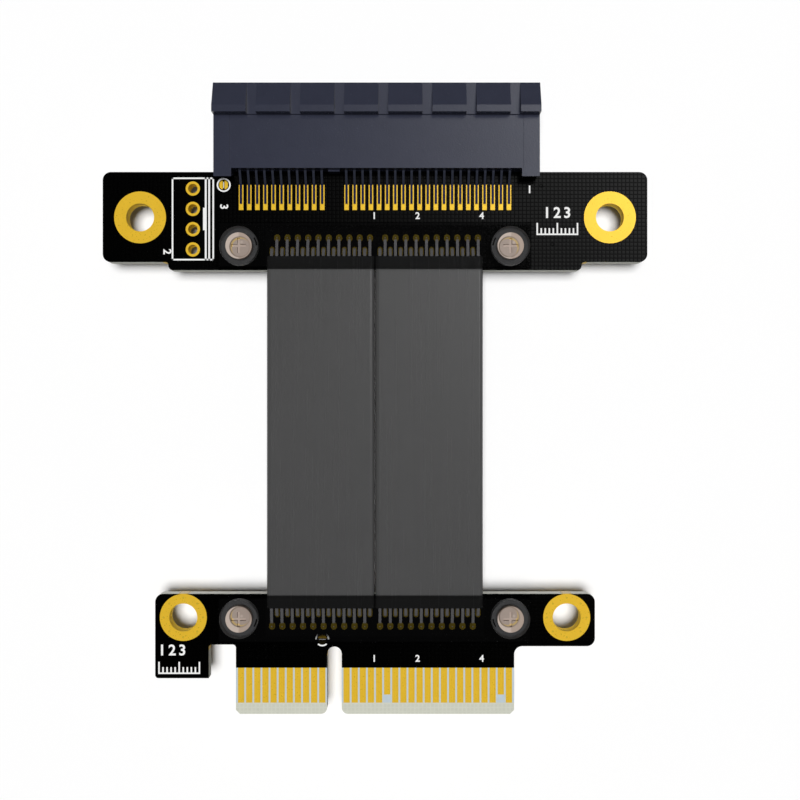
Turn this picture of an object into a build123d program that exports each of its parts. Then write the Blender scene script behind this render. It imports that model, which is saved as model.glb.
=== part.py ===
from build123d import *
import os

# An x4 riser card: a slot board and a plug board joined by two flat shielded ribbon cables.
# Lengths are in millimetres. X runs along the card slot, +Y points out of the slot's mouth and
# +Z is the front of both boards. The slot housing's rear lugs stand on Z = 0.

# Both boards
board_thickness = 1.6
board_gap = 39.9
corner_radius = 1.0
inner_radius = 0.4
pad_thickness = 0.05
mount_hole_diameter = 3.5
screw_hole_diameter = 2.0

# Slot board
slot_board_depth = 12.1
slot_ear_width = 8.1
slot_ear_step = 1.0
step_straight = 0.05
slot_hole_inset = 5.6
slot_hole_side_inset = 4.62
slot_ring_diameter = 6.4
header_pitch = 2.5
header_count = 4
header_inset = 5.8
header_hole_diameter = 1.2
cover_to_header = 3.4
header_to_mount_hole = 6.5
jumper_side_inset = 0.875
jumper_inset = 1.6

# Plug board
plug_board_depth = 14.8
ear_margin = 0.65
hook_width = 6.6
hook_depth = 10.4
hook_gap_margin = 0.45
tab_margin = 0.26
tab_corner = 0.5
key_notch_width = 1.8
key_notch_length = 8.3
key_mouth_radius = 0.8
plug_hole_inset = 2.9
plug_hole_side_inset = 3.475
plug_ring_diameter = 5.8
cover_to_ring = 1.675
key_to_test_pad = 1.5
test_pad_inset = 5.6

# Split pads of the jumper and of the test point
split_pad_size = 1.05
split_pad_corner = 0.25
split_gap = 0.22

# Contacts, in the same places on the slot and on the card tab
contact_pitch = 1.0
left_contacts = 11
right_contacts = 21
key_gap = 3.0
slot_pad_width = 0.56
slot_pad_length = 3.1
slot_pad_inset = 1.6
finger_width = 0.78
finger_length = 4.3
finger_end_margin = 1.4
short_finger_step = 1.0
front_short_fingers = (16, 30)
rear_short_fingers = (0,)

# Slot housing
slot_end_wall = 2.52
slot_shift = 0.245
slot_depth = 10.25
slot_thickness = 6.0
lug_rise = 1.4
lug_length = 3.8
lug_strip = 0.8
rib_count = 7
rib_width = 1.2
rib_rise = 0.27
first_rib_inset = 4.7
last_rib_inset = 3.04
end_block_width = 2.15
end_block_overlap = 1.0
end_block_undercut = 0.6
groove_size = 0.12
groove_inset = 2.0
card_clearance = 0.1
card_slot_depth = 8.45
mouth_chamfer = 0.5
key_wall_clearance = 0.15
channel_width = 0.6
channel_front_wall = 1.2
slit_margin = 0.1
back_rib_width = 1.4
back_rib_depth = 0.2
back_rib_height = 1.2

# Spring contacts
contact_width = 0.28
contact_thickness = 0.22
tail_exit_height = 1.8
tail_bend = 0.25
tail_foot = 2.1
crest_protrusion = 0.25
crest_depth = 2.6

# Ribbon cables
wire_count = 20
wire_pitch = 0.635
wire_size = 0.34
jacket_side = 0.25
ribbon_gap = 0.1
ribbon_thickness = 1.0
ribbon_overlap = 1.6
foil_thickness = 0.05
wire_bend_clearance = 0.1
long_wire_reach = 4.1
short_wire_reach = 2.55

# Covers and their fasteners
cover_height = 2.0
cover_front_wall = 0.5
cover_edge = 0.2
cover_wall = 0.6
ribbon_clearance = 0.1
screw_inset = 2.75
seat_diameter = 4.7
ribbon_to_seat = 0.925
seat_side_wall = 0.175
seat_floor = 0.8
seat_hole_diameter = 2.2
relief_clearance = 0.1
screw_head_diameter = 3.2
screw_head_height = 1.1
recess_length = 1.8
recess_width = 0.32
recess_depth = 0.4

# Widths that follow from the wires, outward over the covers to the ends of both boards
ribbon_width = wire_count * wire_pitch + 2 * jacket_side
ribbon_spacing = ribbon_width + ribbon_gap
screw_spacing = ribbon_spacing + ribbon_width + seat_diameter + 2 * ribbon_to_seat
cover_width = screw_spacing + seat_diameter + 2 * seat_side_wall
cover_depth = screw_inset + seat_diameter / 2 + cover_front_wall
header_x = -cover_width / 2 - cover_to_header
slot_hole_spacing = 2 * (header_to_mount_hole - header_x)
slot_board_width = slot_hole_spacing + 2 * slot_hole_side_inset
plug_hole_spacing = cover_width + plug_ring_diameter + 2 * cover_to_ring
plug_board_width = plug_hole_spacing + 2 * plug_hole_side_inset
plug_ear_depth = plug_hole_inset + plug_ring_diameter / 2 + ear_margin
hook_gap_depth = plug_hole_inset + plug_ring_diameter / 2 + hook_gap_margin

# Widths that follow from the contacts
contact_span = (left_contacts + right_contacts - 2) * contact_pitch + key_gap
tab_width = contact_span + finger_width + 2 * tab_margin
card_slot_length = tab_width + 2 * card_clearance
slot_width = card_slot_length + 2 * slot_end_wall
housing_x = slot_shift - slot_width / 2
jumper_x = housing_x + jumper_side_inset
rib_pitch = (slot_width - first_rib_inset - last_rib_inset) / (rib_count - 1)

# Levels above the surface that the part lies on
slot_mid_z = slot_thickness / 2 + lug_rise
board_bottom_z = slot_mid_z - board_thickness / 2
board_top_z = slot_mid_z + board_thickness / 2

# Stations along Y, with the whole length centred on the origin
total_length = slot_depth + slot_board_depth + board_gap + plug_board_depth
mouth_y = total_length / 2
slot_edge_y = mouth_y - slot_depth
slot_inner_y = slot_edge_y - slot_board_depth
plug_inner_y = slot_inner_y - board_gap
plug_end_y = plug_inner_y - plug_board_depth

# Contact places along X
key_x = (left_contacts - 1) * contact_pitch + key_gap / 2 - contact_span / 2
contact_xs = [i * contact_pitch - contact_span / 2 for i in range(left_contacts)]
contact_xs += [key_x + key_gap / 2 + i * contact_pitch for i in range(right_contacts)]

front = Plane.XY.offset(board_top_z)
rear = Plane.XY.offset(board_bottom_z)
middle = Plane.XY.offset(slot_mid_z)

# Each cable end: the board's inner edge and the direction that leads into the board
slot_end = (slot_inner_y, 1)
plug_end = (plug_inner_y, -1)


def at_end(end, x, depth):
    """A place on the board at one cable end, depth in from the board's inner edge."""
    inner_y, inward = end
    return (x, inner_y + inward * depth)


slot_holes = [(s * slot_hole_spacing / 2, slot_edge_y - slot_hole_inset) for s in (-1, 1)]
plug_holes = [at_end(plug_end, s * plug_hole_spacing / 2, plug_hole_inset) for s in (-1, 1)]
header_start = slot_edge_y - header_inset - (header_count - 1) / 2 * header_pitch
header_holes = [(header_x, header_start + i * header_pitch) for i in range(header_count)]


def screw_places(end):
    return [at_end(end, s * screw_spacing / 2, screw_inset) for s in (-1, 1)]


def save(name, part):
    part.label = name
    export_step(part, f"parts/{name}.step")


def corners_at(sketch, xs, y):
    """The outline's corners on the line Y = y whose X is one of xs."""
    return [
        v for v in sketch.vertices() if abs(v.Y - y) < 0.001 and min(abs(v.X - x) for x in xs) < 0.001
    ]


def make_rings(places, ring_diameter):
    """The plated rings on the front face round a board's mounting holes."""
    with BuildPart() as rings:
        with BuildSketch(front):
            with Locations(*places):
                Circle(ring_diameter / 2)
                Circle(mount_hole_diameter / 2, mode=Mode.SUBTRACT)
        extrude(amount=pad_thickness)
    return rings.part


def make_split_pad(place, gap_width, gap_length):
    """Two facing half pads, as a solder jumper or a test point has."""
    with BuildPart() as halves:
        with BuildSketch(front) as outline:
            with Locations(place):
                Rectangle(split_pad_size, split_pad_size)
                chamfer(outline.vertices(), split_pad_corner)
                Rectangle(gap_width, gap_length, mode=Mode.SUBTRACT)
        extrude(amount=pad_thickness)
    return halves.part


# Slot board: a straight edge that the slot straddles, and two ears with mounting holes
with BuildPart() as slot_board:
    with BuildSketch(rear) as slot_outline:
        half_width = slot_board_width / 2
        step_x = half_width - slot_ear_width
        ear_y = slot_inner_y + slot_ear_step
        step_radius = slot_ear_step - inner_radius - step_straight
        with BuildLine():
            Polyline(
                (-half_width, slot_edge_y),
                (half_width, slot_edge_y),
                (half_width, ear_y),
                (step_x, ear_y),
                (step_x, slot_inner_y),
                (-step_x, slot_inner_y),
                (-step_x, ear_y),
                (-half_width, ear_y),
                close=True,
            )
        make_face()
        fillet(corners_at(slot_outline, (-half_width, half_width), slot_edge_y), corner_radius)
        fillet(corners_at(slot_outline, (-half_width, half_width), ear_y), corner_radius)
        fillet(corners_at(slot_outline, (-step_x, step_x), ear_y), inner_radius)
        fillet(corners_at(slot_outline, (-step_x, step_x), slot_inner_y), step_radius)
        with Locations(*slot_holes):
            Circle(mount_hole_diameter / 2, mode=Mode.SUBTRACT)
        with Locations(*header_holes):
            Circle(header_hole_diameter / 2, mode=Mode.SUBTRACT)
        with Locations(*screw_places(slot_end)):
            Circle(screw_hole_diameter / 2, mode=Mode.SUBTRACT)
    extrude(amount=board_thickness)

# Plug board: the card tab with its key notch, a hook on one side and an ear on the other
with BuildPart() as plug_board:
    with BuildSketch(rear) as plug_outline:
        half_width = plug_board_width / 2
        half_tab = tab_width / 2
        hook_x = hook_width - half_width
        hook_y = plug_inner_y - hook_depth
        gap_y = plug_inner_y - hook_gap_depth
        ear_y = plug_inner_y - plug_ear_depth
        with BuildLine():
            Polyline(
                (-half_width, plug_inner_y),
                (half_width, plug_inner_y),
                (half_width, ear_y),
                (half_tab, ear_y),
                (half_tab, plug_end_y),
                (-half_tab, plug_end_y),
                (-half_tab, gap_y),
                (hook_x, gap_y),
                (hook_x, hook_y),
                (-half_width, hook_y),
                close=True,
            )
        make_face()
        fillet(corners_at(plug_outline, (-half_width, half_width), plug_inner_y), corner_radius)
        fillet(corners_at(plug_outline, (half_width, half_tab), ear_y), corner_radius)
        fillet(corners_at(plug_outline, (-half_tab, hook_x), gap_y), inner_radius)
        fillet(corners_at(plug_outline, (-half_width,), hook_y), inner_radius)
        chamfer(corners_at(plug_outline, (-half_tab, half_tab), plug_end_y), tab_corner)
        with Locations((key_x, plug_end_y)):
            Rectangle(
                key_notch_width,
                key_notch_length - key_notch_width / 2,
                align=(Align.CENTER, Align.MIN),
                mode=Mode.SUBTRACT,
            )
        with Locations((key_x, plug_end_y + key_notch_length - key_notch_width / 2)):
            Circle(key_notch_width / 2, mode=Mode.SUBTRACT)
        notch_xs = (key_x - key_notch_width / 2, key_x + key_notch_width / 2)
        fillet(corners_at(plug_outline, notch_xs, plug_end_y), key_mouth_radius)
        with Locations(*plug_holes):
            Circle(mount_hole_diameter / 2, mode=Mode.SUBTRACT)
        with Locations(*screw_places(plug_end)):
            Circle(screw_hole_diameter / 2, mode=Mode.SUBTRACT)
    extrude(amount=board_thickness)

slot_board_mount_rings = make_rings(slot_holes, slot_ring_diameter)
plug_board_mount_rings = make_rings(plug_holes, plug_ring_diameter)
jumper_place = (jumper_x, slot_edge_y - jumper_inset)
test_place = at_end(plug_end, key_x - key_to_test_pad, test_pad_inset)
jumper_pads = make_split_pad(jumper_place, split_gap, split_pad_size)
test_pads = make_split_pad(test_place, split_pad_size, split_gap)

# Pads under the slot's contact tails
with BuildPart() as slot_front_pads:
    with BuildSketch(front):
        with Locations(*[(x, slot_edge_y - slot_pad_inset) for x in contact_xs]):
            Rectangle(slot_pad_width, slot_pad_length, align=(Align.CENTER, Align.MAX))
    extrude(amount=pad_thickness)

with BuildPart() as slot_rear_pads:
    mirror(slot_front_pads.part, about=middle)


def make_fingers(short_ones, face, direction):
    """Edge fingers on one face of the card tab. The presence fingers stop short of the rest."""
    with BuildPart() as fingers:
        with BuildSketch(face):
            for i, x in enumerate(contact_xs):
                short_by = short_finger_step if i in short_ones else 0
                with Locations((x, plug_end_y + finger_end_margin + finger_length)):
                    Rectangle(
                        finger_width, finger_length - short_by, align=(Align.CENTER, Align.MAX)
                    )
        extrude(amount=direction * pad_thickness)
    return fingers.part


edge_fingers_front = make_fingers(front_short_fingers, front, 1)
edge_fingers_rear = make_fingers(rear_short_fingers, rear, -1)

# Slot housing. The half above the board's middle is built first and then mirrored down.
housing_top = slot_mid_z + slot_thickness / 2
lug_top = housing_top + lug_rise
lug_back_y = mouth_y - lug_length
rib_xs = [housing_x + first_rib_inset + i * rib_pitch for i in range(rib_count)]
card_slot_half = board_thickness / 2 + card_clearance
key_wall = key_notch_width - 2 * key_wall_clearance
back_wall = slot_depth - card_slot_depth
contact_grip_z = slot_mid_z + tail_exit_height
channel_height = tail_exit_height + contact_thickness / 2

with BuildPart() as slot_housing:
    with BuildSketch(Plane.YZ.offset(housing_x)):
        with Locations((slot_edge_y, slot_mid_z)):
            Rectangle(slot_depth, slot_thickness / 2, align=(Align.MIN, Align.MIN))
    extrude(amount=slot_width)
    # Raised lug round the mouth, sloping down to the front
    with BuildSketch(Plane.YZ.offset(housing_x)):
        with BuildLine():
            Polyline(
                (lug_back_y, housing_top),
                (lug_back_y, lug_top),
                (lug_back_y + lug_strip, lug_top),
                (mouth_y, housing_top + rib_rise),
                (mouth_y, housing_top),
                close=True,
            )
        make_face()
    extrude(amount=slot_width)
    # Between the lugs only a low flat of them is left, which runs out to the mouth
    with BuildSketch(Plane.XY.offset(housing_top + rib_rise)):
        with Locations(*[(x, lug_back_y) for x in rib_xs]):
            Rectangle(rib_width, lug_length, align=(Align.CENTER, Align.MIN))
    extrude(amount=lug_rise - rib_rise, mode=Mode.SUBTRACT)
    # End blocks that reach back over the board, undercut behind
    for block_x in (housing_x, housing_x + slot_width - end_block_width):
        with BuildSketch(Plane.YZ.offset(block_x)):
            with BuildLine():
                Polyline(
                    (slot_edge_y, board_top_z),
                    (slot_edge_y, housing_top),
                    (slot_edge_y - end_block_overlap, housing_top),
                    (slot_edge_y - end_block_overlap + end_block_undercut, board_top_z),
                    close=True,
                )
            make_face()
        extrude(amount=end_block_width)
    with BuildSketch(front):
        with Locations((key_x, slot_edge_y)):
            Rectangle(back_rib_width, back_rib_depth, align=(Align.CENTER, Align.MAX))
    extrude(amount=back_rib_height)
    # Fine grooves that part the end blocks from the long wall
    with BuildSketch(Plane.XY.offset(housing_top)):
        groove_xs = (housing_x + groove_inset, housing_x + slot_width - groove_inset)
        with Locations(*[(x, slot_edge_y) for x in groove_xs]):
            Rectangle(groove_size, slot_depth - lug_length, align=(Align.CENTER, Align.MIN))
    extrude(amount=-groove_size, mode=Mode.SUBTRACT)
    # Card slot, with its chamfered mouth and the wall that fits the card's key notch
    with BuildSketch(Plane.YZ.offset(-card_slot_length / 2)):
        with BuildLine():
            Polyline(
                (mouth_y - card_slot_depth, slot_mid_z),
                (mouth_y - card_slot_depth, slot_mid_z + card_slot_half),
                (mouth_y - mouth_chamfer, slot_mid_z + card_slot_half),
                (mouth_y, slot_mid_z + card_slot_half + mouth_chamfer),
                (mouth_y, slot_mid_z),
                close=True,
            )
        make_face()
    extrude(amount=card_slot_length, mode=Mode.SUBTRACT)
    # A channel for each contact, open to the card slot
    with BuildSketch(middle):
        with Locations(*[(x, slot_edge_y + back_wall) for x in contact_xs]):
            Rectangle(
                channel_width,
                card_slot_depth - channel_front_wall,
                align=(Align.CENTER, Align.MIN),
            )
    extrude(amount=channel_height, mode=Mode.SUBTRACT)
    # A slit through the back wall for each group's tails, which it grips from above and below
    with BuildSketch(Plane.XY.offset(contact_grip_z - contact_thickness / 2)):
        for group in (contact_xs[:left_contacts], contact_xs[left_contacts:]):
            with Locations((group[0] - contact_width / 2 - slit_margin, slot_edge_y)):
                Rectangle(
                    group[-1] - group[0] + contact_width + 2 * slit_margin,
                    back_wall,
                    align=(Align.MIN, Align.MIN),
                )
    extrude(amount=contact_thickness, mode=Mode.SUBTRACT)
    with BuildSketch(middle):
        with Locations((key_x, mouth_y)):
            Rectangle(key_wall, card_slot_depth, align=(Align.CENTER, Align.MAX))
    extrude(amount=card_slot_half)
    mirror(about=middle)

# Spring contacts: a foot on the pad, a bent tail, a gripped shank and a bowed spring in the slot
foot_z = board_top_z + pad_thickness + contact_thickness / 2
crest_z = slot_mid_z + card_slot_half - crest_protrusion + contact_thickness / 2
with BuildPart() as slot_front_contacts:
    with BuildSketch(Plane.YZ.offset(-contact_width / 2)):
        with BuildLine():
            centre_line = Polyline(
                (slot_edge_y - tail_bend - slot_pad_inset - tail_foot, foot_z),
                (slot_edge_y - slot_pad_inset, foot_z),
                (slot_edge_y - tail_bend, contact_grip_z),
                (slot_edge_y + back_wall + contact_thickness, contact_grip_z),
                (mouth_y - crest_depth, crest_z),
            )
        trace(centre_line, contact_thickness)
    contact = extrude(amount=contact_width, mode=Mode.PRIVATE)
    with Locations(*[(x, 0, 0) for x in contact_xs]):
        add(contact)

with BuildPart() as slot_rear_contacts:
    mirror(slot_front_contacts.part, about=middle)

# Ribbon cables. Wires lie side by side between two foils, inside a jacket with round edges.
ribbon_mid_z = board_top_z + ribbon_thickness / 2
ribbon_ends = (slot_inner_y + ribbon_overlap, plug_inner_y - ribbon_overlap)
ribbon_length = ribbon_ends[0] - ribbon_ends[1]
wire_xs = [(i - (wire_count - 1) / 2) * wire_pitch for i in range(wire_count)]
cavity_width = wire_count * wire_pitch
foil_width = cavity_width + 2 * foil_thickness
foil_height = wire_size + 2 * foil_thickness
wire_tip_z = board_top_z + wire_size / 2
ribbon_section = Plane(
    origin=(0, ribbon_ends[1], ribbon_mid_z), x_dir=(1, 0, 0), z_dir=(0, 1, 0)
)


def make_foil(centre_x):
    with BuildPart() as foil:
        with BuildSketch(ribbon_section):
            with Locations((centre_x, 0)):
                Rectangle(foil_width, foil_height)
                Rectangle(cavity_width, wire_size, mode=Mode.SUBTRACT)
        extrude(amount=ribbon_length)
    return foil.part


def make_jacket(centre_x):
    with BuildPart() as jacket:
        with BuildSketch(ribbon_section):
            with Locations((centre_x, 0)):
                SlotOverall(ribbon_width, ribbon_thickness)
                Rectangle(foil_width, foil_height, mode=Mode.SUBTRACT)
        extrude(amount=ribbon_length)
    return jacket.part


def make_wires(centre_x):
    """One ribbon's wires, bared at both ends, each long at one end and short at the other."""
    with BuildPart() as wires:
        for i, x in enumerate(wire_xs):
            slot_reach = long_wire_reach if i % 2 else short_wire_reach
            plug_reach = short_wire_reach if i % 2 else long_wire_reach
            with BuildSketch(Plane.YZ.offset(centre_x + x - wire_size / 2)):
                with BuildLine():
                    line = Polyline(
                        (plug_inner_y - plug_reach, wire_tip_z),
                        (ribbon_ends[1] - wire_bend_clearance, ribbon_mid_z),
                        (ribbon_ends[0] + wire_bend_clearance, ribbon_mid_z),
                        (slot_inner_y + slot_reach, wire_tip_z),
                    )
                trace(line, wire_size)
            extrude(amount=wire_size)
    return wires.part


def make_cover(end, crossed_pads):
    """A clear cover that bridges the ribbon ends, with a sunk seat for each screw head.

    Its underside is relieved over each split pad that its outer wall crosses.
    """
    relief_size = split_pad_size + 2 * relief_clearance
    hollow_depth = cover_depth - cover_wall
    hollow_width = ribbon_spacing + ribbon_width + 2 * ribbon_clearance
    with BuildPart() as cover:
        with BuildSketch(front):
            with Locations(at_end(end, 0, cover_depth / 2)):
                Rectangle(cover_width, cover_depth)
        extrude(amount=cover_height)
        chamfer(cover.faces().sort_by(Axis.Z)[-1].edges(), cover_edge)
        with BuildSketch(front):
            with Locations(at_end(end, 0, hollow_depth / 2)):
                Rectangle(hollow_width, hollow_depth)
        extrude(amount=ribbon_thickness + ribbon_clearance, mode=Mode.SUBTRACT)
        with BuildSketch(front):
            with Locations(*screw_places(end)):
                Circle(seat_hole_diameter / 2)
        extrude(amount=seat_floor, mode=Mode.SUBTRACT)
        with BuildSketch(Plane.XY.offset(board_top_z + seat_floor)):
            with Locations(*screw_places(end)):
                Circle(seat_diameter / 2)
        extrude(amount=cover_height - seat_floor, mode=Mode.SUBTRACT)
        for place in crossed_pads:
            with BuildSketch(front):
                with Locations(place):
                    Rectangle(relief_size, relief_size)
            extrude(amount=pad_thickness + relief_clearance, mode=Mode.SUBTRACT)
    return cover.part


def make_screws(end):
    """Pan head screws with a cross recess, put in from the front and flush with the rear."""
    head_z = board_top_z + seat_floor
    with BuildPart() as screws:
        with BuildSketch(Plane.XY.offset(head_z)):
            with Locations(*screw_places(end)):
                Circle(screw_head_diameter / 2)
        extrude(amount=screw_head_height)
        with BuildSketch(Plane.XY.offset(head_z + screw_head_height)):
            with Locations(*screw_places(end)):
                Rectangle(recess_length, recess_width)
                Rectangle(recess_width, recess_length)
        extrude(amount=-recess_depth, mode=Mode.SUBTRACT)
        with BuildSketch(Plane.XY.offset(head_z)):
            with Locations(*screw_places(end)):
                Circle(screw_hole_diameter / 2)
        extrude(amount=board_bottom_z - head_z)
    return screws.part


os.makedirs("parts", exist_ok=True)
save("slot_board", slot_board.part)
save("slot_board_mount_rings", slot_board_mount_rings)
save("slot_board_jumper_pads", jumper_pads)
save("slot_front_pads", slot_front_pads.part)
save("slot_rear_pads", slot_rear_pads.part)
save("slot_housing", slot_housing.part)
save("slot_front_contacts", slot_front_contacts.part)
save("slot_rear_contacts", slot_rear_contacts.part)
save("slot_end_cover", make_cover(slot_end, []))
save("slot_end_cover_screws", make_screws(slot_end))
save("plug_board", plug_board.part)
save("plug_board_mount_rings", plug_board_mount_rings)
save("plug_board_test_pads", test_pads)
save("edge_fingers_front", edge_fingers_front)
save("edge_fingers_rear", edge_fingers_rear)
save("plug_end_cover", make_cover(plug_end, [test_place]))
save("plug_end_cover_screws", make_screws(plug_end))
for side_name, side in (("left", -1), ("right", 1)):
    middle_x = side * ribbon_spacing / 2
    save(f"{side_name}_ribbon_wires", make_wires(middle_x))
    save(f"{side_name}_ribbon_foil", make_foil(middle_x))
    save(f"{side_name}_ribbon_jacket", make_jacket(middle_x))
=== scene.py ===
from math import cos, pi, radians, sin

import bmesh
import bpy
from mathutils import Matrix, Vector


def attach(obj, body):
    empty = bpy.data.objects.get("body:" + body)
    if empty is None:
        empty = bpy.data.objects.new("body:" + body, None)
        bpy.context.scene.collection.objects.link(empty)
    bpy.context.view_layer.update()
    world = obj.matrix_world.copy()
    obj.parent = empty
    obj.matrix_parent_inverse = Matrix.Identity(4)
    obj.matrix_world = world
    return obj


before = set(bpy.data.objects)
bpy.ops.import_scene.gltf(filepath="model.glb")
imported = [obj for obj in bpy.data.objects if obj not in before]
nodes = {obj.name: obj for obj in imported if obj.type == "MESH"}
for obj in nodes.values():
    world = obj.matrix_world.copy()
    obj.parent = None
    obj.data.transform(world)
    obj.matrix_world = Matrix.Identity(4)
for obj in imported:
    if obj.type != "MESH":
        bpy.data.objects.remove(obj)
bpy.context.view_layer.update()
mm = 0.001  # every length below is written in millimetres and turned to metres by this
print("frame loaded:", len(nodes), "nodes")

# Places that the boards share, in millimetres
board = {
    "top": 5.2,
    "bottom": 3.6,
    "slotInnerY": 16.175,
    "plugInnerY": -23.725,
    "maskEndY": -32.825,  # the tab is bare laminate beyond this line
    "padRise": 0.05,
    "inkRise": 0.02,
    "slotHoles": ((-28.95, 22.675), (28.95, 22.675)),
    "plugHoles": ((-23.625, -26.625), (23.625, -26.625)),
    "screwX": 16.525,
    "slotScrewY": 18.925,
    "plugScrewY": -26.475,
}
jumperPlace = (-18.65, 26.675)
testPadPlace = (-6.5, -29.33)
weldReach = 0.00001  # points nearer than this are one


# Small helpers for shader trees

def startMaterial(name):
    material = bpy.data.materials.new(name)
    material.use_nodes = True
    return material, material.node_tree, material.node_tree.nodes["Principled BSDF"]


# source is a socket or a plain value
def join(tree, source, socket):
    if isinstance(source, bpy.types.NodeSocket):
        tree.links.new(source, socket)
    else:
        socket.default_value = source


def calc(tree, operation, a, b=0.0, c=None):
    node = tree.nodes.new("ShaderNodeMath")
    node.operation = operation
    join(tree, a, node.inputs[0])
    join(tree, b, node.inputs[1])
    if c is not None:
        join(tree, c, node.inputs[2])
    return node.outputs[0]


def smoothRange(tree, value, low, high, fromZero=0.0, toOne=1.0):
    node = tree.nodes.new("ShaderNodeMapRange")
    node.interpolation_type = "SMOOTHSTEP"
    join(tree, value, node.inputs["Value"])
    node.inputs["From Min"].default_value = low
    node.inputs["From Max"].default_value = high
    node.inputs["To Min"].default_value = fromZero
    node.inputs["To Max"].default_value = toOne
    return node.outputs["Result"]


def blendColours(tree, factor, first, second):
    node = tree.nodes.new("ShaderNodeMix")
    node.data_type = "RGBA"
    join(tree, factor, node.inputs["Factor"])
    join(tree, first, node.inputs["A"])
    join(tree, second, node.inputs["B"])
    return node.outputs["Result"]


def scaleVector(tree, vector, factor):
    node = tree.nodes.new("ShaderNodeVectorMath")
    node.operation = "SCALE"
    join(tree, vector, node.inputs[0])
    join(tree, factor, node.inputs["Scale"])
    return node.outputs[0]


def rgb(r, g, b):
    return (r, g, b, 1.0)


# the place on the object in millimetres, as three sockets
def objectPlace(tree):
    coordinates = tree.nodes.new("ShaderNodeTexCoord")
    parts = tree.nodes.new("ShaderNodeSeparateXYZ")
    join(tree, scaleVector(tree, coordinates.outputs["Object"], 1 / mm), parts.inputs[0])
    return parts.outputs["X"], parts.outputs["Y"], parts.outputs["Z"]


# how far (a, b) lies from a centre
def distanceFrom(tree, a, b, centreA, centreB):
    gapA = calc(tree, "SUBTRACT", a, centreA)
    gapB = calc(tree, "SUBTRACT", b, centreB)
    squares = calc(tree, "ADD", calc(tree, "MULTIPLY", gapA, gapA), calc(tree, "MULTIPLY", gapB, gapB))
    return calc(tree, "SQRT", squares)


# a mask of the upright faces, whose normal rises less than the limit, and the normal's part in Y
def findWalls(tree, limit):
    geometry = tree.nodes.new("ShaderNodeNewGeometry")
    parts = tree.nodes.new("ShaderNodeSeparateXYZ")
    join(tree, geometry.outputs["True Normal"], parts.inputs[0])
    rise = calc(tree, "ABSOLUTE", parts.outputs["Z"])
    return calc(tree, "LESS_THAN", rise, limit), parts.outputs["Y"]


def startGroup(name, inputs, outputs):
    group = bpy.data.node_groups.new(name, "ShaderNodeTree")
    for socketName, kind, value in inputs:
        socket = group.interface.new_socket(socketName, in_out="INPUT", socket_type=kind)
        socket.default_value = value
    for socketName, kind in outputs:
        group.interface.new_socket(socketName, in_out="OUTPUT", socket_type=kind)
    return group, group.nodes.new("NodeGroupInput"), group.nodes.new("NodeGroupOutput")


def useGroup(tree, group, **values):
    node = tree.nodes.new("ShaderNodeGroup")
    node.node_tree = group
    for socketName, value in values.items():
        join(tree, value, node.inputs[socketName])
    return node


# Effects that several materials share

# a colour that wanders a little lighter and darker over the surface
def makeMottleGroup():
    cloud = {"detail": 3.0, "rough": 0.6}
    group, given, result = startGroup(
        "mottle",
        [("Colour", "NodeSocketColor", rgb(0.5, 0.5, 0.5)), ("Amount", "NodeSocketFloat", 0.1),
         ("Scale", "NodeSocketFloat", 800.0)],
        [("Colour", "NodeSocketColor"), ("Value", "NodeSocketFloat")],
    )
    coordinates = group.nodes.new("ShaderNodeTexCoord")
    noise = group.nodes.new("ShaderNodeTexNoise")
    noise.inputs["Detail"].default_value = cloud["detail"]
    noise.inputs["Roughness"].default_value = cloud["rough"]
    join(group, coordinates.outputs["Object"], noise.inputs["Vector"])
    join(group, given.outputs["Scale"], noise.inputs["Scale"])
    centred = calc(group, "SUBTRACT", noise.outputs[0], 0.5)
    swing = calc(group, "MULTIPLY", centred, given.outputs["Amount"])
    factor = calc(group, "MULTIPLY_ADD", swing, 2.0, 1.0)
    join(group, scaleVector(group, given.outputs["Colour"], factor), result.inputs["Colour"])
    join(group, noise.outputs[0], result.inputs["Value"])
    return group


# the fine bumps of a moulded or plated face
def makeGrainGroup():
    group, given, result = startGroup(
        "fineGrain",
        [("Scale", "NodeSocketFloat", 4000.0), ("Depth", "NodeSocketFloat", 0.00001)],
        [("Normal", "NodeSocketVector"), ("Value", "NodeSocketFloat")],
    )
    coordinates = group.nodes.new("ShaderNodeTexCoord")
    noise = group.nodes.new("ShaderNodeTexNoise")
    noise.inputs["Detail"].default_value = 2.0
    bump = group.nodes.new("ShaderNodeBump")
    bump.inputs["Strength"].default_value = 1.0
    join(group, coordinates.outputs["Object"], noise.inputs["Vector"])
    join(group, given.outputs["Scale"], noise.inputs["Scale"])
    join(group, given.outputs["Depth"], bump.inputs["Distance"])
    join(group, noise.outputs[0], bump.inputs["Height"])
    join(group, bump.outputs[0], result.inputs["Normal"])
    join(group, noise.outputs[0], result.inputs["Value"])
    return group


# the glass cloth under a board's skin: 1 along the lines between threads, 0 on the threads
def makeWeaveGroup():
    thread = {"pitch": 0.49, "lineCore": 0.15, "lineEdge": 0.75}
    group, given, result = startGroup(
        "glassWeave",
        [("Pitch", "NodeSocketFloat", thread["pitch"])],
        [("Value", "NodeSocketFloat")],
    )
    x, y = objectPlace(group)[:2]
    turn = calc(group, "DIVIDE", pi, given.outputs["Pitch"])
    across = calc(group, "ABSOLUTE", calc(group, "SINE", calc(group, "MULTIPLY", x, turn)))
    along = calc(group, "ABSOLUTE", calc(group, "SINE", calc(group, "MULTIPLY", y, turn)))
    nearest = calc(group, "MINIMUM", across, along)
    line = smoothRange(group, nearest, thread["lineCore"], thread["lineEdge"], 1.0, 0.0)
    join(group, line, result.inputs["Value"])
    return group


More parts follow.
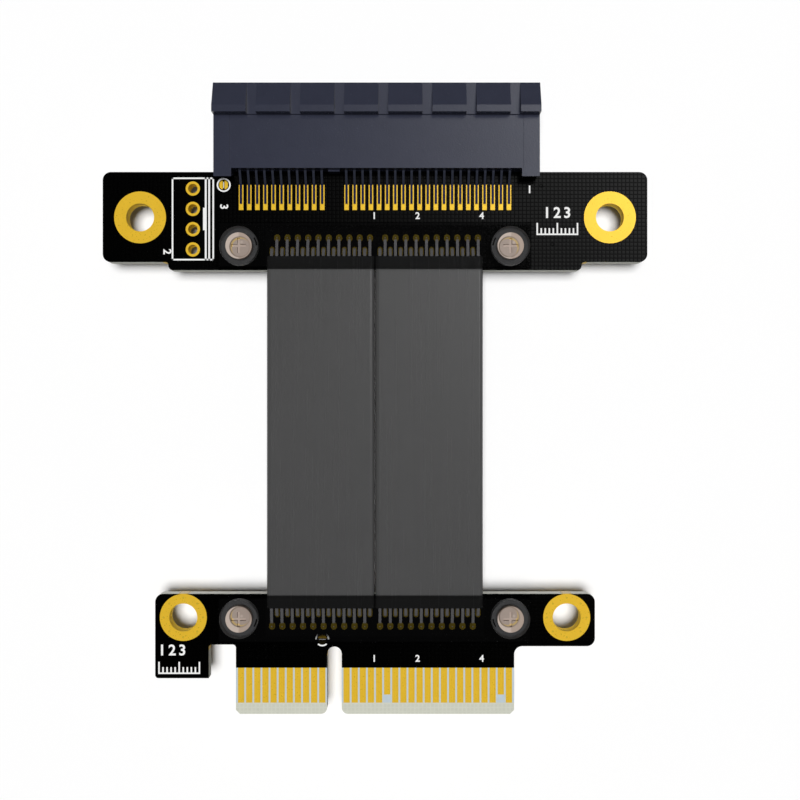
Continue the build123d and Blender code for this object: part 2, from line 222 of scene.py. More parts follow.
# u and v run outward from the nearest screw, away from the middle of the part, in millimetres
def makeScrewPlaceGroup():
    group, given, result = startGroup(
        "screwPlace",
        [("Screw X", "NodeSocketFloat", board["screwX"])],
        [("U", "NodeSocketFloat"), ("V", "NodeSocketFloat"), ("Upper", "NodeSocketFloat"),
         ("Across", "NodeSocketFloat")],
    )
    x, y = objectPlace(group)[:2]
    u = calc(group, "SUBTRACT", calc(group, "ABSOLUTE", x), given.outputs["Screw X"])
    upper = calc(group, "GREATER_THAN", y, 0.0)
    vUpper = calc(group, "SUBTRACT", y, board["slotScrewY"])
    vLower = calc(group, "SUBTRACT", board["plugScrewY"], y)
    vPart = calc(group, "MULTIPLY", upper, calc(group, "SUBTRACT", vUpper, vLower))
    join(group, u, result.inputs["U"])
    join(group, calc(group, "ADD", vPart, vLower), result.inputs["V"])
    join(group, upper, result.inputs["Upper"])
    join(group, calc(group, "MULTIPLY", calc(group, "SIGN", x), u), result.inputs["Across"])
    return group


mottle = makeMottleGroup()
fineGrain = makeGrainGroup()
glassWeave = makeWeaveGroup()
screwPlace = makeScrewPlaceGroup()


# Materials

# mottling is an amount and a scale, grain a scale and a depth; returns a mask of the grain where there
# is one, and otherwise of the mottling
def paintSurface(tree, shader, colour, mottling, grain=None):
    amount, scale = mottling
    toned = useGroup(tree, mottle, Colour=colour, Amount=amount, Scale=scale)
    join(tree, toned.outputs["Colour"], shader.inputs["Base Color"])
    if grain is None:
        return toned.outputs["Value"]
    grainScale, depth = grain
    bumps = useGroup(tree, fineGrain, Scale=grainScale, Depth=depth)
    join(tree, bumps.outputs["Normal"], shader.inputs["Normal"])
    return bumps.outputs["Value"]


# rough is the lowest roughness and how far it rises with the mask
def roughen(tree, shader, mask, rough):
    low, swing = rough
    join(tree, calc(tree, "MULTIPLY_ADD", mask, swing, low), shader.inputs["Roughness"])


# dark solder mask on the faces, bare laminate on the walls and on the card tab
def makeBoardMaterial():
    look = {
        "mask": rgb(0.00035, 0.00035, 0.0003),
        "maskLine": rgb(0.0002, 0.0002, 0.0002),
        "laminate": rgb(0.575, 0.585, 0.50),
        "laminateLine": rgb(0.61, 0.62, 0.535),
        "fingerGap": rgb(0.50, 0.58, 0.63),  # cooler and smoother between the fingers
        # painted shade: the cut walls are darker than the laminate of the tab
        "wall": rgb(0.42, 0.425, 0.375),
        "litSideWall": rgb(0.78, 0.785, 0.71),  # painted light: the cut that faces the slot end is lighter
        "weavePitch": 0.49,
        "lineDulling": 0.5,  # the gloss is weaker along the lines of the cloth
        "lineDepth": 0.000004,
        "wallNormal": 0.5,
        "tabHalfWidth": 17.3,
        "fingerEndY": -37.125,
        # plated corners of the outline: notch end, hook gap and ear steps, with their reach
        "platedCorners": ((-5.0, -31.1, 0.97), (-20.1, -30.375, 0.5), (-17.55, -30.375, 0.5),
                          (-25.5, 17.0, 0.7), (25.5, 17.0, 0.7)),
        "plating": rgb(0.62, 0.42, 0.06),
        "mottling": (0.07, 1500.0),
        "maskRough": (0.21, 0.08),
        "bareRough": 0.62,
        "gloss": 0.14,
    }
    material, tree, shader = startMaterial("solderMaskBoard")
    x, y = objectPlace(tree)[:2]
    line = useGroup(tree, glassWeave, Pitch=look["weavePitch"]).outputs["Value"]

    # the faces: mask, or laminate on the tab
    maskColour = blendColours(tree, line, look["mask"], look["maskLine"])
    laminateColour = blendColours(tree, line, look["laminate"], look["laminateLine"])
    inFingers = calc(tree, "GREATER_THAN", y, look["fingerEndY"])
    tabColour = blendColours(tree, inFingers, laminateColour, look["fingerGap"])
    pastMask = calc(tree, "LESS_THAN", y, board["maskEndY"])
    withinTab = calc(tree, "LESS_THAN", calc(tree, "ABSOLUTE", x), look["tabHalfWidth"])
    onTab = calc(tree, "MULTIPLY", pastMask, withinTab)
    faceColour = blendColours(tree, onTab, maskColour, tabColour)

    # the walls: cut laminate with painted shade, lighter as painted light where they face the slot end, and
    # plated at some corners
    onWall, normalY = findWalls(tree, look["wallNormal"])
    plated = 0.0
    for cornerX, cornerY, reach in look["platedCorners"]:
        near = calc(tree, "LESS_THAN", distanceFrom(tree, x, y, cornerX, cornerY), reach)
        plated = calc(tree, "MAXIMUM", plated, near)
    facesSlot = calc(tree, "GREATER_THAN", normalY, look["wallNormal"])
    cutColour = blendColours(tree, facesSlot, look["wall"], look["litSideWall"])
    wallColour = blendColours(tree, plated, cutColour, look["plating"])

    paintSurface(tree, shader, blendColours(tree, onWall, faceColour, wallColour), look["mottling"])
    bare = calc(tree, "MAXIMUM", onWall, onTab)
    onMask = calc(tree, "SUBTRACT", 1.0, bare)
    dulled = calc(tree, "MULTIPLY", calc(tree, "MULTIPLY", line, look["lineDulling"]), onMask)
    join(tree, dulled, shader.inputs["Metallic"])
    low, swing = look["maskRough"]
    maskRough = calc(tree, "MULTIPLY_ADD", line, swing, low)
    bareRough = calc(tree, "MULTIPLY", bare, look["bareRough"])
    join(tree, calc(tree, "MAXIMUM", maskRough, bareRough), shader.inputs["Roughness"])
    bump = tree.nodes.new("ShaderNodeBump")
    bump.inputs["Distance"].default_value = look["lineDepth"]
    bump.invert = True
    join(tree, line, bump.inputs["Height"])
    join(tree, bump.outputs[0], shader.inputs["Normal"])
    shader.inputs["Specular IOR Level"].default_value = look["gloss"]
    return material


# plated faces, with painted shade on their thin upright edges
def makeGoldMaterial():
    look = {
        "colour": rgb(0.96, 0.60, 0.042),
        # painted shade: the upright faces get this darker gold
        "wall": rgb(0.52, 0.36, 0.06),
        "wallNormal": 0.5,
        "tented": rgb(0.012, 0.009, 0.001),  # the outer half of the test pad is under dark mask
        "tentedAt": (-6.5, -29.85),
        "tentedReach": (0.62, 0.52),
        "mottling": (0.05, 900.0),
        "grain": (5000.0, 0.000004),
        "rough": (0.22, 0.16),
        "metal": 0.27,
    }
    material, tree, shader = startMaterial("goldPlate")
    x, y = objectPlace(tree)[:2]
    padX, padY = look["tentedAt"]
    reachX, reachY = look["tentedReach"]
    tented = calc(tree, "MULTIPLY", calc(tree, "COMPARE", x, padX, reachX),
                  calc(tree, "COMPARE", y, padY, reachY))
    onWall = findWalls(tree, look["wallNormal"])[0]
    plated = blendColours(tree, onWall, look["colour"], look["wall"])
    colour = blendColours(tree, tented, plated, look["tented"])
    mask = paintSurface(tree, shader, colour, look["mottling"], look["grain"])
    roughen(tree, shader, mask, look["rough"])
    shader.inputs["Metallic"].default_value = look["metal"]
    return material


def makeSlotPlastic():
    look = {"colour": rgb(0.0290, 0.0320, 0.0510), "mottling": (0.10, 500.0), "grain": (6000.0, 0.000008),
            "rough": (0.17, 0.14)}
    material, tree, shader = startMaterial("slotPlastic")
    mask = paintSurface(tree, shader, look["colour"], look["mottling"], look["grain"])
    roughen(tree, shader, mask, look["rough"])
    return material


# dark bent strip, bluer where the foot lies on its pad
def makeContactMetal():
    look = {
        "leg": rgb(0.034, 0.038, 0.056),
        "foot": rgb(0.002, 0.008, 0.052),
        "footFrom": 26.85,  # the foot's colour comes in from here down to footTo
        "footTo": 26.55,
        "mottling": (0.15, 2500.0),
        "rough": (0.3, 0.2),
        "metal": 0.3,
        "gloss": 0.3,
    }
    material, tree, shader = startMaterial("contactMetal")
    y = objectPlace(tree)[1]
    onLeg = smoothRange(tree, y, look["footTo"], look["footFrom"])
    colour = blendColours(tree, onLeg, look["foot"], look["leg"])
    mask = paintSurface(tree, shader, colour, look["mottling"])
    roughen(tree, shader, mask, look["rough"])
    shader.inputs["Metallic"].default_value = look["metal"]
    shader.inputs["Specular IOR Level"].default_value = look["gloss"]
    return material


# the cover's clear grey roof; it has no gloss, which would show as specks on so clear a face
def makeSmokedPlastic():
    look = {"colour": rgb(0.0035, 0.0035, 0.0036), "mottling": (0.2, 300.0), "rough": (0.2, 0.04),
            "alpha": 0.44, "gloss": 0.0}
    material, tree, shader = startMaterial("smokedPlastic")
    mask = paintSurface(tree, shader, look["colour"], look["mottling"])
    roughen(tree, shader, mask, look["rough"])
    shader.inputs["Alpha"].default_value = look["alpha"]
    shader.inputs["Specular IOR Level"].default_value = look["gloss"]
    return material


# the cover's upright walls and bevels
def makeSmokedWall():
    look = {"colour": rgb(0.0012, 0.0012, 0.0013), "mottling": (0.2, 300.0), "wallNormal": 0.3,
            "wallAlpha": 0.25, "bevelAlpha": 0.43, "rough": 0.6, "gloss": 0.0}
    material, tree, shader = startMaterial("smokedWall")
    paintSurface(tree, shader, look["colour"], look["mottling"])
    onWall = findWalls(tree, look["wallNormal"])[0]
    step = look["wallAlpha"] - look["bevelAlpha"]
    join(tree, calc(tree, "MULTIPLY_ADD", onWall, step, look["bevelAlpha"]), shader.inputs["Alpha"])
    shader.inputs["Roughness"].default_value = look["rough"]
    shader.inputs["Specular IOR Level"].default_value = look["gloss"]
    return material


# the sunk seat under each screw head, matt and greyer than the cover, with painted light on its wall and one
# thin dark arc
def makeFrostedSeat():
    look = {
        "floor": rgb(0.047, 0.047, 0.048),
        # painted light: the seat's wall is much lighter than its floor
        "wall": rgb(0.30, 0.30, 0.303),
        "wallNormal": 0.5,
        "slit": rgb(0.001, 0.001, 0.001),
        "slitRadius": 2.05,
        "slitHalfWidth": 0.09,
        "slitStart": 0.09,  # where the dark arc starts and ends, as slopes from the screw
        "slitEnd": 0.65,
        "mottling": (0.22, 2200.0),
        "grain": (3500.0, 0.00001),
        "alpha": 0.92,
        "rough": 0.6,
        "gloss": 0.2,
    }
    material, tree, shader = startMaterial("frostedSeat")
    place = useGroup(tree, screwPlace)
    u, v = place.outputs["U"], place.outputs["V"]
    radius = distanceFrom(tree, u, v, 0.0, 0.0)
    # a thin dark arc on the inner side of the seat floor
    inBand = calc(tree, "COMPARE", radius, look["slitRadius"], look["slitHalfWidth"])
    slope = calc(tree, "DIVIDE", v, calc(tree, "MULTIPLY", u, -1.0))
    inSweep = calc(tree, "MULTIPLY", calc(tree, "GREATER_THAN", slope, look["slitStart"]),
                   calc(tree, "LESS_THAN", slope, look["slitEnd"]))
    inner = calc(tree, "LESS_THAN", u, 0.0)
    slit = calc(tree, "MULTIPLY", calc(tree, "MULTIPLY", inBand, inSweep), inner)
    onWall = findWalls(tree, look["wallNormal"])[0]
    seatColour = blendColours(tree, onWall, look["floor"], look["wall"])
    colour = blendColours(tree, slit, seatColour, look["slit"])
    paintSurface(tree, shader, colour, look["mottling"], look["grain"])
    shader.inputs["Roughness"].default_value = look["rough"]
    shader.inputs["Specular IOR Level"].default_value = look["gloss"]
    shader.inputs["Alpha"].default_value = look["alpha"]
    return material


# milky screw plastic with painted light and shade: a bright and a shaded half, a darker disc and a warm
# crescent painted where the shank and the plated hole below would show through, a dark rim and a painted
# highlight
def makeNylon():
    look = {
        "bright": rgb(0.51, 0.425, 0.37),
        "shaded": rgb(0.385, 0.305, 0.255),
        "halves": (-0.12, 0.18),  # where the bright half of the head turns to the shaded one
        "mottling": (0.06, 1200.0),
        "grain": (2500.0, 0.00001),
        "rough": 0.4,
    }
    # painted on the head: a darker disc and a warm crescent, where the shank and the plated hole would show
    # through
    disc = {"colour": rgb(0.31, 0.25, 0.215), "radius": 1.18, "edge": (-0.06, 0.02), "strength": 0.92,
            "shiftU": -0.18, "shiftUpper": -0.16, "shiftLower": -0.32}
    warm = {"colour": rgb(0.47, 0.33, 0.12), "shift": -0.16, "edge": (-0.10, 0.04), "strength": 0.85}
    # the dark rim of the disc is painted shade, strong on its left and fading to the right
    rim = {"colour": rgb(0.13, 0.098, 0.075), "offset": 0.04, "core": 0.02, "edge": 0.13,
           "halfSpan": 1.3, "left": 0.95, "right": 0.4}
    # a painted highlight: a soft light spot up and to the right of the screw's middle
    paintedHighlight = {"x": 0.38, "y": 0.42, "core": 0.05, "radius": 0.26, "strength": 0.55}
    recess = {"floorZ": 6.6, "faceZ": 7.05, "lift": 1.32}  # the cross recess is lifted against its own shade

    material, tree, shader = startMaterial("nylonScrew")
    place = useGroup(tree, screwPlace)
    u, v, across = place.outputs["U"], place.outputs["V"], place.outputs["Across"]
    y, z = objectPlace(tree)[1:]
    shiftV = calc(tree, "MULTIPLY_ADD", place.outputs["Upper"], disc["shiftUpper"] - disc["shiftLower"],
                  disc["shiftLower"])
    radius = distanceFrom(tree, u, v, disc["shiftU"], shiftV)
    warmRadius = distanceFrom(tree, u, v, disc["shiftU"] + warm["shift"],
                              calc(tree, "ADD", shiftV, warm["shift"]))
    inside = smoothRange(tree, radius, disc["radius"] + disc["edge"][0], disc["radius"] + disc["edge"][1],
                         1.0, 0.0)
    outsideWarm = smoothRange(tree, warmRadius, disc["radius"] + warm["edge"][0],
                              disc["radius"] + warm["edge"][1])
    crescent = calc(tree, "MULTIPLY", inside, outsideWarm)
    fromRim = calc(tree, "ABSOLUTE", calc(tree, "SUBTRACT", radius, disc["radius"] + rim["offset"]))
    rimBand = smoothRange(tree, fromRim, rim["core"], rim["edge"], 1.0, 0.0)
    rimSide = smoothRange(tree, across, -rim["halfSpan"], rim["halfSpan"], rim["left"], rim["right"])
    screwY = calc(tree, "MULTIPLY_ADD", place.outputs["Upper"], board["slotScrewY"] - board["plugScrewY"],
                  board["plugScrewY"] + paintedHighlight["y"])
    highlightAt = distanceFrom(tree, across, y, paintedHighlight["x"], screwY)
    highlightMask = smoothRange(tree, highlightAt, paintedHighlight["core"], paintedHighlight["radius"], paintedHighlight["strength"], 0.0)

    halves = smoothRange(tree, across, look["halves"][0], look["halves"][1])
    colour = blendColours(tree, halves, look["bright"], look["shaded"])
    colour = blendColours(tree, calc(tree, "MULTIPLY", inside, disc["strength"]), colour, disc["colour"])
    colour = blendColours(tree, calc(tree, "MULTIPLY", crescent, warm["strength"]), colour, warm["colour"])
    colour = blendColours(tree, calc(tree, "MULTIPLY", rimBand, rimSide), colour, rim["colour"])
    colour = blendColours(tree, highlightMask, colour, look["bright"])
    lift = smoothRange(tree, z, recess["floorZ"], recess["faceZ"], recess["lift"], 1.0)
    paintSurface(tree, shader, scaleVector(tree, colour, lift), look["mottling"], look["grain"])
    shader.inputs["Roughness"].default_value = look["rough"]
    return material


# bright wire whose longest ends have taken the colour of the pads
def makeTinnedWire():
    look = {
        "colour": rgb(0.86, 0.85, 0.88),
        "tip": rgb(0.56, 0.40, 0.035),
        "slotTip": 3.72,  # how far from the board's edge the tips begin
        "plugTip": 3.5,
        "softness": 0.08,
        "mottling": (0.14, 3000.0),
        "rough": (0.28, 0.2),
        "metal": 0.1,
    }
    material, tree, shader = startMaterial("tinnedWire")
    y = objectPlace(tree)[1]
    slotTipY, plugTipY = board["slotInnerY"] + look["slotTip"], board["plugInnerY"] - look["plugTip"]
    soft = look["softness"]
    pastSlot = smoothRange(tree, y, slotTipY - soft, slotTipY + soft)
    pastPlug = smoothRange(tree, y, plugTipY - soft, plugTipY + soft, 1.0, 0.0)
    colour = blendColours(tree, calc(tree, "MAXIMUM", pastSlot, pastPlug), look["colour"], look["tip"])
    mask = paintSurface(tree, shader, colour, look["mottling"])
    roughen(tree, shader, mask, look["rough"])
    shader.inputs["Metallic"].default_value = look["metal"]
    return material


# matt grey cable jacket with faint lines along its length
def makeJacket():
    look = {
        "colour": (0.0655, 0.0655, 0.0658),
        "lineScale": (2600.0, 40.0, 2600.0),
        "lineDetail": 2.0,
        "lineAmount": 0.08,
        "lineDepth": 0.000006,
        "mottling": (0.06, 350.0),
        "rough": (0.20, 0.12),
    }
    material, tree, shader = startMaterial("cableJacket")
    coordinates = tree.nodes.new("ShaderNodeTexCoord")
    stretch = tree.nodes.new("ShaderNodeMapping")
    stretch.inputs["Scale"].default_value = look["lineScale"]
    lines = tree.nodes.new("ShaderNodeTexNoise")
    lines.inputs["Scale"].default_value = 1.0
    lines.inputs["Detail"].default_value = look["lineDetail"]
    join(tree, coordinates.outputs["Object"], stretch.inputs["Vector"])
    join(tree, stretch.outputs[0], lines.inputs["Vector"])
    swing = calc(tree, "MULTIPLY", calc(tree, "SUBTRACT", lines.outputs[0], 0.5), look["lineAmount"])
    lined = scaleVector(tree, look["colour"], calc(tree, "ADD", swing, 1.0))
    paintSurface(tree, shader, lined, look["mottling"])
    roughen(tree, shader, lines.outputs[0], look["rough"])
    bump = tree.nodes.new("ShaderNodeBump")
    bump.inputs["Distance"].default_value = look["lineDepth"]
    join(tree, lines.outputs[0], bump.inputs["Height"])
    join(tree, bump.outputs[0], shader.inputs["Normal"])
    return material


# finishes that are even all over: mottled colour, fine bumps, and plain metal, roughness and gloss
evenFinishes = {
    # the upright plated wall inside a hole, which gets little light and shows deep yellow
    "barrelGold": {"colour": rgb(0.94, 0.68, 0.05), "mottling": (0.06, 1500.0), "grain": None,
                   "metal": 0.0, "rough": 0.6, "gloss": 0.05},
    "dullGold": {"colour": rgb(0.56, 0.40, 0.035), "mottling": (0.15, 2600.0), "grain": None,
                 "metal": 0.2, "rough": 0.5, "gloss": 0.5},
    "foilShield": {"colour": rgb(0.55, 0.55, 0.57), "mottling": (0.2, 700.0), "grain": (1400.0, 0.00005),
                   "metal": 0.8, "rough": 0.35, "gloss": 0.5},
    "whiteInk": {"colour": rgb(0.88, 0.88, 0.87), "mottling": (0.10, 4500.0), "grain": (7000.0, 0.00001),
                 "metal": 0.0, "rough": 0.7, "gloss": 0.5},
    "solder": {"colour": rgb(0.80, 0.80, 0.83), "mottling": (0.2, 2600.0), "grain": (3000.0, 0.000015),
               "metal": 0.15, "rough": 0.34, "gloss": 0.5},
}


def makeEvenFinish(name):
    look = evenFinishes[name]
    material, tree, shader = startMaterial(name)
    paintSurface(tree, shader, look["colour"], look["mottling"], look["grain"])
    shader.inputs["Metallic"].default_value = look["metal"]
    shader.inputs["Roughness"].default_value = look["rough"]
    shader.inputs["Specular IOR Level"].default_value = look["gloss"]
    return material


boardMask = makeBoardMaterial()
goldPlate = makeGoldMaterial()
barrelGold = makeEvenFinish("barrelGold")
slotPlastic = makeSlotPlastic()
contactMetal = makeContactMetal()
smokedPlastic = makeSmokedPlastic()
smokedWall = makeSmokedWall()
frostedSeat = makeFrostedSeat()
nylon = makeNylon()
tinnedWire = makeTinnedWire()
foilShield = makeEvenFinish("foilShield")
jacketGrey = makeJacket()
whiteInk = makeEvenFinish("whiteInk")
solder = makeEvenFinish("solder")
dullGold = makeEvenFinish("dullGold")
print("materials made")

nodeMaterials = {
    "slot_board": boardMask,
    "plug_board": boardMask,
    "slot_board_mount_rings": goldPlate,
    "plug_board_mount_rings": goldPlate,
    "slot_board_jumper_pads": goldPlate,
    "plug_board_test_pads": goldPlate,
    "slot_front_pads": goldPlate,
    "slot_rear_pads": goldPlate,
    "edge_fingers_front": goldPlate,
    "edge_fingers_rear": goldPlate,
    "slot_housing": slotPlastic,
    "slot_front_contacts": contactMetal,
    "slot_rear_contacts": contactMetal,
    "slot_end_cover": smokedPlastic,
    "plug_end_cover": smokedPlastic,
    "slot_end_cover_screws": nylon,
    "plug_end_cover_screws": nylon,
    "left_ribbon_wires": tinnedWire,
    "right_ribbon_wires": tinnedWire,
    "left_ribbon_foil": foilShield,
    "right_ribbon_foil": foilShield,
    "left_ribbon_jacket": jacketGrey,
    "right_ribbon_jacket": jacketGrey,
}
for nodeName, nodeMaterial in nodeMaterials.items():
    nodeMesh = nodes[nodeName].data
    nodeMesh.materials.clear()
    nodeMesh.materials.append(nodeMaterial)


# a small rounding on a screw head's sharp edges; its loose triangles are welded first
def softenScrews(nodeName):
    rounding = {"width": 0.12, "segments": 2, "angle": radians(40), "weld": 0.0005}
    piece = nodes[nodeName]
    weld = piece.modifiers.new("weld", "WELD")
    weld.merge_threshold = rounding["weld"] * mm
    bevel = piece.modifiers.new("rounding", "BEVEL")
    bevel.width = rounding["width"] * mm
    bevel.segments = rounding["segments"]
    bevel.limit_method = "ANGLE"
    bevel.angle_limit = rounding["angle"]


# the cover's seat floors and seat walls get the frosted finish, its other walls and bevels their own
def finishCover(nodeName, screwY):
    seat = {"floor": 6.0, "floorSlack": 0.01, "radius": 2.35, "wallSlack": 0.08}
    wallNormal, bevelNormal = 0.1, 0.9
    mesh = nodes[nodeName].data
    mesh.materials.append(frostedSeat)
    mesh.materials.append(smokedWall)
    for face in mesh.polygons:
        centre = face.center / mm
        rise = abs(face.normal.z)
        radius = Vector((abs(centre.x) - board["screwX"], centre.y - screwY)).length
        onFloor = abs(centre.z - seat["floor"]) < seat["floorSlack"] and radius < seat["radius"]
        onSeatWall = rise < wallNormal and abs(radius - seat["radius"]) < seat["wallSlack"]
        if onFloor or onSeatWall:
            face.material_index = 1
        elif rise < bevelNormal:
            face.material_index = 2


softenScrews("slot_end_cover_screws")
softenScrews("plug_end_cover_screws")
finishCover("slot_end_cover", board["slotScrewY"])
finishCover("plug_end_cover", board["plugScrewY"])
print("frame pieces finished")


# Pieces that the scene adds

def finishPiece(name, bm, material, smooth=False):
    bmesh.ops.remove_doubles(bm, verts=bm.verts, dist=weldReach)
    bmesh.ops.recalc_face_normals(bm, faces=bm.faces)
    bmesh.ops.scale(bm, vec=(mm, mm, mm), verts=bm.verts)
    for face in bm.faces:
        face.smooth = smooth
    mesh = bpy.data.meshes.new(name)
    bm.to_mesh(mesh)
    bm.free()
    mesh.materials.append(material)
    piece = bpy.data.objects.new(name, mesh)
    bpy.context.collection.objects.link(piece)
    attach(piece, "root")
    return piece


# a closed (radius, height) profile spun round the upright line at place
def addTurned(bm, place, profile, steps):
    x, y = place
    corners = [bm.verts.new((x + r, y, z)) for r, z in profile]
    edges = [bm.edges.new((corners[i - 1], corners[i])) for i in range(len(corners))]
    bmesh.ops.spin(bm, geom=corners + edges, cent=(x, y, 0), axis=(0, 0, 1), angle=2 * pi,
                   steps=steps, use_merge=True)


# part of a flat printed ring, from one angle over a sweep
def addArc(bm, place, ring, start, sweep, low, high):
    along, up = Vector((cos(start), sin(start), 0)), Vector((0, 0, 1))
    centre = Vector((place[0], place[1], 0))
    inner, outer = ring["inner"], ring["outer"]
    profile = ((inner, low), (outer, low), (outer, high), (inner, high))
    corners = [bm.verts.new(centre + along * r + up * z) for r, z in profile]
    face = bm.faces.new(corners)
    bmesh.ops.spin(bm, geom=[face], cent=centre, axis=(0, 0, 1), angle=sweep, steps=ring["arcSteps"])


def addBar(bm, x0, x1, y0, y1, low, high):
    size = Matrix.Diagonal((x1 - x0, y1 - y0, high - low, 1))
    middle = Matrix.Translation(((x0 + x1) / 2, (y0 + y1) / 2, (low + high) / 2))
    bmesh.ops.create_cube(bm, size=1, matrix=middle @ size)


# a round-ended pad, long in Y
def addOval(bm, place, width, length, low, high):
    made = bmesh.ops.create_circle(bm, cap_ends=True, radius=width / 2, segments=16)
    reach = (length - width) / 2
    for vertex in made["verts"]:
        vertex.co.y += reach if vertex.co.y > 0.0001 else -reach
        vertex.co += Vector((place[0], place[1], low))
    faces = list({f for v in made["verts"] for f in v.link_faces})
    lifted = bmesh.ops.extrude_face_region(bm, geom=faces)
    top = [g for g in lifted["geom"] if isinstance(g, bmesh.types.BMVert)]
    bmesh.ops.translate(bm, vec=(0, 0, high - low), verts=top)


# a ball stretched to a bead of solder with its middle at low, where its lower half is cut off later
def addBead(bm, place, width, length, height, low):
    made = bmesh.ops.create_uvsphere(bm, u_segments=12, v_segments=6, radius=1)
    bmesh.ops.scale(bm, vec=(width / 2, length / 2, height), verts=made["verts"])
    bmesh.ops.translate(bm, vec=(place[0], place[1], low), verts=made["verts"])


# plain numbers, set with the built-in typeface and made a mesh
def addDigits(bm, text, place, height, turn, low, high):
    digit = {"capHeight": 0.73, "weight": 0.03, "resolution": 3}  # a little bolder than the typeface
    curve = bpy.data.curves.new("digits", "FONT")
    curve.body = text
    curve.size = height / digit["capHeight"]
    curve.align_x = "CENTER"
    curve.align_y = "CENTER"
    curve.extrude = (high - low) / 2
    curve.offset = digit["weight"] * height
    curve.resolution_u = digit["resolution"]
    holder = bpy.data.objects.new("digits", curve)
    bpy.context.collection.objects.link(holder)
    bpy.context.view_layer.update()
    mesh = bpy.data.meshes.new_from_object(holder)
    placed = Matrix.Translation((place[0], place[1], (low + high) / 2)) @ Matrix.Rotation(turn, 4, "Z")
    mesh.transform(placed)
    bm.from_mesh(mesh)
    bpy.data.meshes.remove(mesh)
    bpy.data.objects.remove(holder)
    bpy.data.curves.remove(curve)


# the walls inside plated holes get the barrel's own gold
def goldenWalls(piece):
    wallNormal = 0.5
    piece.data.materials.append(barrelGold)
    for face in piece.data.polygons:
        if abs(face.normal.z) < wallNormal:
            face.material_index = 1


# plated holes: ring, barrel and rear ring of the header, and barrel and rear ring of the mounting holes
def makePlating():
    header = {"x": -22.45, "ys": (18.725, 21.225, 23.725, 26.225), "hole": 1.2, "ring": 1.76,
              "wall": 0.025, "steps": 36}
    mount = {"hole": 3.5, "rearRing": 4.8, "wall": 0.03, "steps": 64}
    top, bottom = board["top"] + board["padRise"], board["bottom"] - board["padRise"]
    rim, bore = header["ring"] / 2, header["hole"] / 2
    lining = bore - header["wall"]
    bm = bmesh.new()
    for y in header["ys"]:
        addTurned(bm, (header["x"], y), [
            (rim, top), (lining, top), (lining, bottom), (rim, bottom),
            (rim, board["bottom"]), (bore, board["bottom"]), (bore, board["top"]), (rim, board["top"]),
        ], header["steps"])
    goldenWalls(finishPiece("headerPlating", bm, goldPlate))

    rim, bore = mount["rearRing"] / 2, mount["hole"] / 2
    lining = bore - mount["wall"]
    bm = bmesh.new()
    for place in board["slotHoles"] + board["plugHoles"]:
        addTurned(bm, place, [
            (bore, top), (lining, top), (lining, bottom), (rim, bottom),
            (rim, board["bottom"]), (bore, board["bottom"]),
        ], mount["steps"])
    goldenWalls(finishPiece("mountBarrels", bm, goldPlate))


# the tiny filled vias in the plug board's rings
def makeRingVias():
    via = {"count": 8, "circle": 2.43, "outer": 0.11, "inner": 0.0605, "rise": 0.015, "steps": 12}
    low = board["top"] + board["padRise"]
    high = low + via["rise"]
    bm = bmesh.new()
    for centreX, centreY in board["plugHoles"]:
        for i in range(via["count"]):
            angle = 2 * pi * i / via["count"]
            place = (centreX + via["circle"] * cos(angle), centreY + via["circle"] * sin(angle))
            addTurned(bm, place, [(via["outer"], low), (via["outer"], high), (via["inner"], high),
                                  (via["inner"], low)], via["steps"])
    finishPiece("ringVias", bm, dullGold)


# where a plug board ring meets the board's inner edge, its plating runs down the edge
def makeEdgePatches():
    patch = {"halfWidth": 0.6, "thickness": 0.03}
    bm = bmesh.new()
    for centreX, centreY in board["plugHoles"]:
        addBar(bm, centreX - patch["halfWidth"], centreX + patch["halfWidth"], board["plugInnerY"],
               board["plugInnerY"] + patch["thickness"], board["bottom"], board["top"] + board["padRise"])
    finishPiece("ringEdgePatches", bm, goldPlate)


# pads and solder under the covers, one pair of rows at each cable end
def makeWirePads():
    row = {"count": 20, "pitch": 0.635, "spacing": 13.3, "beadHeight": 0.40}
    far = {"depth": 3.95, "width": 0.76, "length": 0.92, "bead": (0.30, 0.26)}
    near = {"depth": 2.3, "width": 0.62, "length": 1.15, "bead": (0.40, 0.88)}
    low = board["top"]
    high = low + board["padRise"]
    pads, beads = bmesh.new(), bmesh.new()
    for innerY, inward, oddIsFar in ((board["slotInnerY"], 1, True), (board["plugInnerY"], -1, False)):
        for side in (-1, 1):
            for i in range(row["count"]):
                pad = far if (i % 2 == 1) == oddIsFar else near
                x = side * row["spacing"] / 2 + (i - (row["count"] - 1) / 2) * row["pitch"]
                place = (x, innerY + inward * pad["depth"])
                beadWidth, beadLength = pad["bead"]
                addOval(pads, place, pad["width"], pad["length"], low, high)
                addBead(beads, place, beadWidth, beadLength, row["beadHeight"], high)
    cut = beads.verts[:] + beads.edges[:] + beads.faces[:]
    bmesh.ops.bisect_plane(beads, geom=cut, dist=weldReach, plane_co=(0, 0, high), plane_no=(0, 0, 1),
                           clear_inner=True)
    finishPiece("wirePads", pads, dullGold)
    finishPiece("wireSolder", beads, solder, smooth=True)


